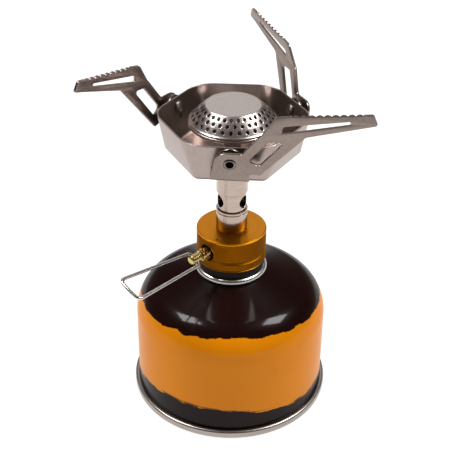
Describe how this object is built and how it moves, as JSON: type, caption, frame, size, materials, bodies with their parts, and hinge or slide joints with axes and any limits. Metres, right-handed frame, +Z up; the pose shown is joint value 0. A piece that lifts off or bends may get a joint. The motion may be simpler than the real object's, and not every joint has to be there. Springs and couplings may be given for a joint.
{
  "type": "canister stove",
  "caption": "Folding canister stove screwed onto a domed gas canister: hexagonal pan, perforated burner, toothed pot supports and a wire control handle.",
  "frame": {"origin": "centre of the canister's bottom rim, on the ground", "axes": "+Z up along the canister's and stove's axis; +Y away from the control handle's side; +X to the right of someone who looks along +Y"},
  "size_m": [0.1169, 0.115, 0.1654],
  "materials": {
    "canister_paint": "glossy lacquer over tinplate",
    "canister_steel": "bright tinplate",
    "rubber": "matt",
    "nylon": "moulded",
    "brass": "turned",
    "sintered_bronze": "porous",
    "spring_steel": "bright",
    "gold_anodised": "knurled and anodised",
    "wire_steel": "drawn and polished",
    "plated_brass": "nickel plated",
    "burner_steel": "turned and pressed stainless",
    "stainless_sheet": "drawn stainless",
    "stainless_plate": "stamped stainless"
  },
  "bodies": {
    "canister": {"canister_shell": "canister_paint", "canister_base": "canister_steel", "valve_cup": "canister_steel", "cup_gasket": "rubber", "valve_housing": "nylon", "valve_gasket": "rubber", "valve_spring": "spring_steel"},
    "poppet": {"valve_poppet": "brass"},
    "ring": {"support_ring": "rubber"},
    "stove": {"valve_body": "gold_anodised", "thread_insert": "brass", "insert_o_ring": "rubber", "opening_pin": "brass", "gas_filter": "sintered_bronze", "packing_nut": "brass", "gas_jet": "brass", "stem_base": "plated_brass", "air_tube": "burner_steel", "burner_tube": "burner_steel", "pan": "stainless_sheet", "pan_nut": "burner_steel", "burner_cup": "burner_steel", "flame_spreader": "burner_steel", "burner_cap": "burner_steel", "rivet_front": "plated_brass", "rivet_left": "plated_brass", "rivet_right": "plated_brass", "spring_washer_front": "spring_steel", "spring_washer_left": "spring_steel", "spring_washer_right": "spring_steel"},
    "needle_carrier": {"spindle_o_ring": "rubber"},
    "needle": {"spindle": "brass"},
    "handle": {"wire_handle": "wire_steel"},
    "support_front": {"pot_support_front": "stainless_plate"},
    "support_left": {"pot_support_left": "stainless_plate"},
    "support_right": {"pot_support_right": "stainless_plate"}
  },
  "joints": [
    {"name": "ring_lift", "type": "slide", "parent": "canister", "child": "ring", "axis": [0, 0, 1], "range_m": [0, 0.00635]},
    {"name": "stove_unscrew", "type": "hinge", "parent": "ring", "child": "stove", "pos_m": [0, 0, 0.07024], "axis": [0, 0, 1], "range_deg": [0, 2520]},
    {"name": "poppet_rise", "type": "slide", "parent": "canister", "child": "poppet", "axis": [0, 0, 1], "range_m": [0, 0.0018], "deforming": ["valve_spring"]},
    {"name": "needle_travel", "type": "slide", "parent": "stove", "child": "needle_carrier", "axis": [-0.7022, -0.712, 0], "range_m": [0, 0.001]},
    {"name": "spindle_turn", "type": "hinge", "parent": "needle_carrier", "child": "needle", "pos_m": [-0.01566, -0.01588, 0.078], "axis": [-0.7022, -0.712, 0], "range_deg": [0, 720]},
    {"name": "handle_fold", "type": "hinge", "parent": "needle", "child": "handle", "pos_m": [-0.01566, -0.01588, 0.078], "axis": [0.6772, -0.6678, -0.309], "range_deg": [-85, 55]},
    {"name": "support_front_fold", "type": "hinge", "parent": "stove", "child": "support_front", "pos_m": [-0.00099, -0.02842, 0.13634], "axis": [0.0339, 0.9705, 0.2385], "range_deg": [0, 105]},
    {"name": "support_left_fold", "type": "hinge", "parent": "stove", "child": "support_left", "pos_m": [-0.02412, 0.01507, 0.13634], "axis": [0.8236, -0.5146, 0.2385], "range_deg": [0, 105]},
    {"name": "support_right_fold", "type": "hinge", "parent": "stove", "child": "support_right", "pos_m": [0.02511, 0.01335, 0.13634], "axis": [-0.8575, -0.4559, 0.2385], "range_deg": [0, 105]}
  ],
  "couplings": [
    {"joint": "ring_lift", "follows": "stove_unscrew", "m_per_rad": 0.00014436},
    {"joint": "poppet_rise", "follows": "stove_unscrew", "m_per_rad": 0.00004092},
    {"joint": "needle_travel", "follows": "spindle_turn", "m_per_rad": 0.00007957}
  ]
}
